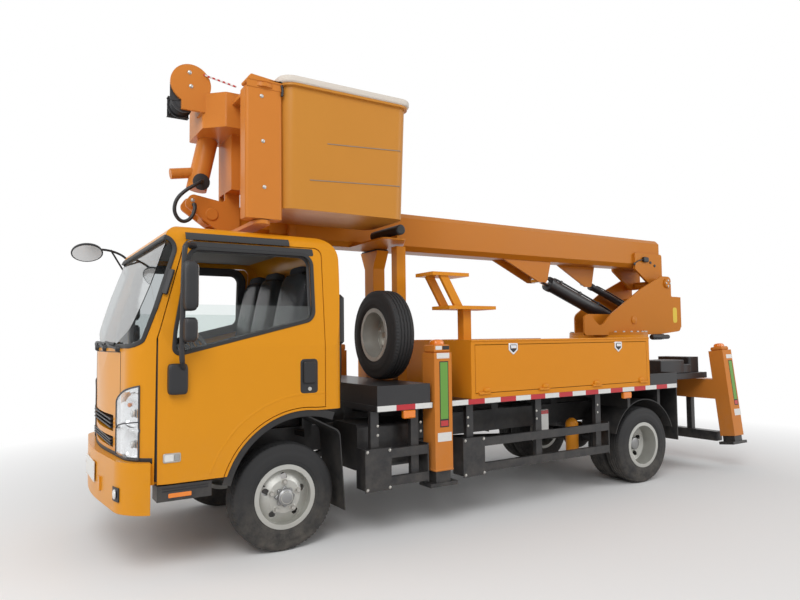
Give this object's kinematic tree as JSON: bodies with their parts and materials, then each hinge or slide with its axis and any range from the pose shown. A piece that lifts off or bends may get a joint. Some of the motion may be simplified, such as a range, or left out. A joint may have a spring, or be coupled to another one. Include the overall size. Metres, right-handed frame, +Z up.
{
  "type": "truck-mounted telescopic aerial work platform",
  "caption": "Light cab-over truck with a telescopic boom on a slewing turret, a levelled and swinging work basket, outriggers and side toolboxes",
  "frame": {"origin": "centre of the box that holds the truck, on the ground", "axes": "+X forward, +Y to the left, +Z up"},
  "size_m": [6.65, 2.2616, 3.5949],
  "materials": {
    "yellow_paint": "gloss",
    "orange_paint": "gloss",
    "black_paint": "satin",
    "cast_iron": "rough",
    "window_glass": "clear",
    "lamp_lens": "clear",
    "interior_plastic": "grained",
    "black_plastic": "satin",
    "seat_fabric": "woven",
    "tyre_rubber": "matte",
    "wheel_silver": "satin",
    "chrome_rod": "polished",
    "basket_shell": "gelcoat",
    "hose_rubber": "matte"
  },
  "bodies": {
    "root": {"chassis_frame": "black_paint", "engine": "cast_iron", "front_axle": "black_paint", "rear_axle": "black_paint", "cab_shell": "yellow_paint", "cab_glass": "window_glass", "dashboard": "interior_plastic", "seats": "seat_fabric", "bumper": "yellow_paint", "grille": "black_plastic", "headlamps": "lamp_lens", "mudguards": "black_plastic", "deck": "black_paint", "toolboxes": "yellow_paint", "side_guards": "black_paint", "fuel_and_battery_boxes": "black_paint", "rear_outriggers": "orange_paint", "boom_rest": "yellow_paint", "spare_tyre": "tyre_rubber", "spare_rim": "wheel_silver", "pedestal": "yellow_paint"},
    "turret": {"turret": "yellow_paint"},
    "boom": {"boom_outer": "yellow_paint"},
    "boom_mid": {"boom_mid": "yellow_paint"},
    "boom_tip": {"boom_tip": "yellow_paint"},
    "lift_barrel": {"lift_barrel": "black_paint"},
    "lift_rod": {"lift_rod": "chrome_rod"},
    "level_barrel": {"level_barrel": "black_paint"},
    "level_rod": {"level_rod": "chrome_rod"},
    "upright": {"platform_upright": "orange_paint", "winch": "black_paint", "hose_loop": "hose_rubber"},
    "platform": {"platform_column": "orange_paint", "basket": "basket_shell"},
    "knuckle_left": {"knuckle_left": "black_paint"},
    "front_wheel_left": {"front_tyre_left": "tyre_rubber", "front_rim_left": "wheel_silver"},
    "rear_wheels_left": {"rear_tyres_left": "tyre_rubber", "rear_rims_left": "wheel_silver"},
    "door_left": {"door_left": "yellow_paint", "door_glass_left": "window_glass", "mirror_left": "black_plastic"},
    "toolbox_door_left": {"toolbox_door_left": "yellow_paint"},
    "front_beam_left": {"front_beam_left": "orange_paint"},
    "front_jack_left": {"front_jack_left": "orange_paint"},
    "rear_jack_left": {"rear_jack_left": "orange_paint"},
    "knuckle_right": {"knuckle_right": "black_paint"},
    "front_wheel_right": {"front_tyre_right": "tyre_rubber", "front_rim_right": "wheel_silver"},
    "rear_wheels_right": {"rear_tyres_right": "tyre_rubber", "rear_rims_right": "wheel_silver"},
    "door_right": {"door_right": "yellow_paint", "door_glass_right": "window_glass", "mirror_right": "black_plastic", "front_mirror": "black_plastic"},
    "toolbox_door_right": {"toolbox_door_right": "yellow_paint"},
    "front_beam_right": {"front_beam_right": "orange_paint"},
    "front_jack_right": {"front_jack_right": "orange_paint"},
    "rear_jack_right": {"rear_jack_right": "orange_paint"}
  },
  "joints": [
    {"name": "steer_left", "type": "hinge", "parent": "root", "child": "knuckle_left", "pos_m": [2.095, 0.64, 0.38], "axis": [0, 0, 1], "range_deg": [-35, 35]},
    {"name": "front_wheel_spin_left", "type": "hinge", "parent": "knuckle_left", "child": "front_wheel_left", "pos_m": [2.095, 0.752, 0.38], "axis": [0, 1, 0], "continuous": true},
    {"name": "rear_wheel_spin_left", "type": "hinge", "parent": "root", "child": "rear_wheels_left", "pos_m": [-1.72, 0.712, 0.38], "axis": [0, 1, 0], "continuous": true},
    {"name": "door_hinge_left", "type": "hinge", "parent": "root", "child": "door_left", "pos_m": [2.963, 0.92, 1.2], "axis": [0, 0, -1], "range_deg": [0, 65]},
    {"name": "toolbox_hinge_left", "type": "hinge", "parent": "root", "child": "toolbox_door_left", "pos_m": [-0.605, 1.01, 1.025], "axis": [-1, 0, 0], "range_deg": [0, 90]},
    {"name": "outrigger_slide_left", "type": "slide", "parent": "root", "child": "front_beam_left", "axis": [0, 1, 0], "range_m": [0, 0.6]},
    {"name": "front_jack_slide_left", "type": "slide", "parent": "front_beam_left", "child": "front_jack_left", "axis": [0, 0, -1], "range_m": [0, 0.4]},
    {"name": "rear_jack_slide_left", "type": "slide", "parent": "root", "child": "rear_jack_left", "axis": [0, 0.1167, -0.9932], "range_m": [0, 0.4]},
    {"name": "steer_right", "type": "hinge", "parent": "root", "child": "knuckle_right", "pos_m": [2.095, -0.64, 0.38], "axis": [0, 0, 1], "range_deg": [-35, 35]},
    {"name": "front_wheel_spin_right", "type": "hinge", "parent": "knuckle_right", "child": "front_wheel_right", "pos_m": [2.095, -0.752, 0.38], "axis": [0, 1, 0], "continuous": true},
    {"name": "rear_wheel_spin_right", "type": "hinge", "parent": "root", "child": "rear_wheels_right", "pos_m": [-1.72, -0.712, 0.38], "axis": [0, 1, 0], "continuous": true},
    {"name": "door_hinge_right", "type": "hinge", "parent": "root", "child": "door_right", "pos_m": [2.963, -0.92, 1.2], "axis": [0, 0, 1], "range_deg": [0, 65]},
    {"name": "toolbox_hinge_right", "type": "hinge", "parent": "root", "child": "toolbox_door_right", "pos_m": [-0.605, -1.01, 1.025], "axis": [1, 0, 0], "range_deg": [0, 90]},
    {"name": "outrigger_slide_right", "type": "slide", "parent": "root", "child": "front_beam_right", "axis": [0, -1, 0], "range_m": [0, 0.6]},
    {"name": "front_jack_slide_right", "type": "slide", "parent": "front_beam_right", "child": "front_jack_right", "axis": [0, 0, -1], "range_m": [0, 0.4]},
    {"name": "rear_jack_slide_right", "type": "slide", "parent": "root", "child": "rear_jack_right", "axis": [0, -0.1167, -0.9932], "range_m": [0, 0.4]},
    {"name": "slew", "type": "hinge", "parent": "root", "child": "turret", "pos_m": [-2.305, 0, 1.5], "axis": [0, 0, 1], "continuous": true},
    {"name": "luff", "type": "hinge", "parent": "turret", "child": "boom", "pos_m": [-3.03, 0, 2.12], "axis": [0, -1, 0], "range_deg": [0, 80]},
    {"name": "extend_mid", "type": "slide", "parent": "boom", "child": "boom_mid", "axis": [1, 0, 0], "range_m": [0, 3.8]},
    {"name": "extend_tip", "type": "slide", "parent": "boom_mid", "child": "boom_tip", "axis": [1, 0, 0], "range_m": [0, 3.8]},
    {"name": "platform_level", "type": "hinge", "parent": "boom_tip", "child": "upright", "pos_m": [2.415, 0, 2.5], "axis": [0, 1, 0], "range_deg": [0, 80]},
    {"name": "platform_swing", "type": "hinge", "parent": "upright", "child": "platform", "pos_m": [2.265, 0.825, 2.8], "axis": [0, 0, -1], "range_deg": [0, 120]},
    {"name": "lift_barrel_turn", "type": "hinge", "parent": "turret", "child": "lift_barrel", "pos_m": [-2.405, 0, 1.67], "axis": [0, -1, 0], "range_deg": [0, 77.6]},
    {"name": "lift_rod_slide", "type": "slide", "parent": "lift_barrel", "child": "lift_rod", "axis": [0.9329, 0, 0.3602], "range_m": [0, 0.991]},
    {"name": "level_barrel_turn", "type": "hinge", "parent": "turret", "child": "level_barrel", "pos_m": [-2.855, -0.17, 1.85], "axis": [0, -1, 0], "range_deg": [0, 71.2]},
    {"name": "level_rod_slide", "type": "slide", "parent": "level_barrel", "child": "level_rod", "axis": [0.9368, 0, 0.3498], "range_m": [0, 0.387]}
  ],
  "couplings": [
    {"joint": "steer_right", "follows": "steer_left", "ratio": 1},
    {"joint": "extend_tip", "follows": "extend_mid", "ratio": 1},
    {"joint": "platform_level", "follows": "luff", "ratio": 1},
    {"joint": "lift_barrel_turn", "follows": "luff", "ratio": 0.96318},
    {"joint": "lift_rod_slide", "follows": "luff", "m_per_rad": 0.70618},
    {"joint": "level_barrel_turn", "follows": "luff", "ratio": 0.88376},
    {"joint": "level_rod_slide", "follows": "luff", "m_per_rad": 0.27385}
  ]
}
